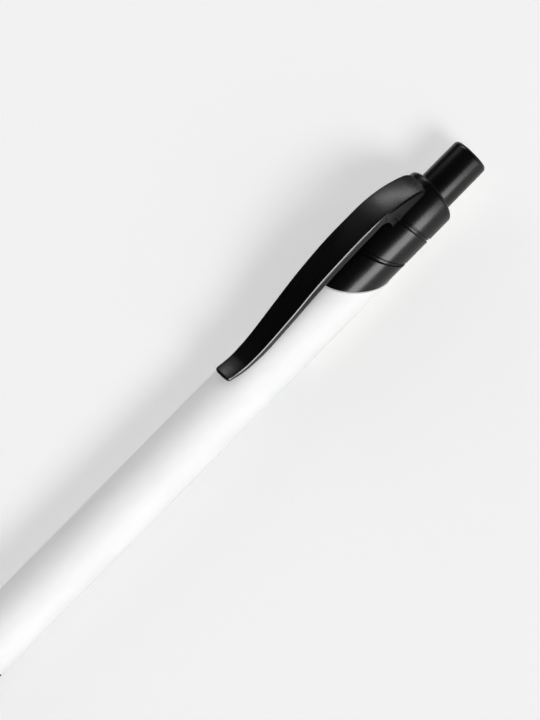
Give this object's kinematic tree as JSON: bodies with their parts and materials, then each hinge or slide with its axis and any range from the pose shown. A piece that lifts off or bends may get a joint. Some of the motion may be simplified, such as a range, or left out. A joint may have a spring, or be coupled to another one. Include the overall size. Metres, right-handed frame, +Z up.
{
  "type": "ballpoint pen",
  "caption": "Retractable ballpoint pen with a white tubular barrel, a slanted black top with a sprung clip, and a click push button.",
  "frame": {"origin": "under the middle of the pen's length, on the surface that it lies on", "axes": "+X along the pen towards the push button, +Z up through the clip"},
  "size_m": [0.142, 0.0104, 0.0146],
  "materials": {
    "white_plastic": "satin white injection-moulded plastic",
    "black_plastic": "satin black injection-moulded plastic",
    "natural_plastic": "natural acetal, matt",
    "refill_plastic": "translucent polypropylene tube",
    "brass": "turned brass",
    "spring_steel": "bright drawn wire",
    "ball_steel": "polished ball",
    "ink_black": "thick ballpoint ink",
    "follower_grease": "clear grease"
  },
  "bodies": {
    "pen_body": {"barrel": "white_plastic", "nose_cone": "black_plastic", "top_housing": "black_plastic", "cam_sleeve": "natural_plastic", "return_spring": "spring_steel"},
    "clip_body": {"clip": "black_plastic"},
    "button_body": {"push_button": "black_plastic", "thrust_tube": "natural_plastic"},
    "refill_body": {"refill_tube": "refill_plastic", "refill_point": "brass", "ink": "ink_black", "ink_follower": "follower_grease"},
    "rotor_body": {"cam_rotor": "natural_plastic"},
    "ball_body": {"writing_ball": "ball_steel"}
  },
  "joints": [
    {"name": "button_slide", "type": "slide", "parent": "pen_body", "child": "button_body", "axis": [-1, 0, 0], "range_m": [0, 0.007], "stiffness_N_per_m": 250, "springref_m": -0.008},
    {"name": "refill_slide", "type": "slide", "parent": "pen_body", "child": "refill_body", "axis": [-1, 0, 0], "range_m": [0, 0.006], "deforming": ["return_spring"]},
    {"name": "rotor_turn", "type": "hinge", "parent": "refill_body", "child": "rotor_body", "pos_m": [0.0373, 0, 0.0052], "axis": [-1, 0, 0], "range_deg": [0, 22.5]},
    {"name": "clip_lift", "type": "hinge", "parent": "pen_body", "child": "clip_body", "pos_m": [0.05937, 0, 0.01204], "axis": [0, 1, 0], "range_deg": [0, 5], "stiffness_Nm_per_rad": 1.4},
    {"name": "ball_roll", "type": "hinge", "parent": "refill_body", "child": "ball_body", "pos_m": [-0.0693, 0, 0.0052], "axis": [0, 1, 0], "continuous": true}
  ],
  "couplings": [
    {"joint": "refill_slide", "follows": "button_slide", "ratio": 0.85714},
    {"joint": "rotor_turn", "follows": "button_slide", "rad_per_m": 56.1}
  ]
}
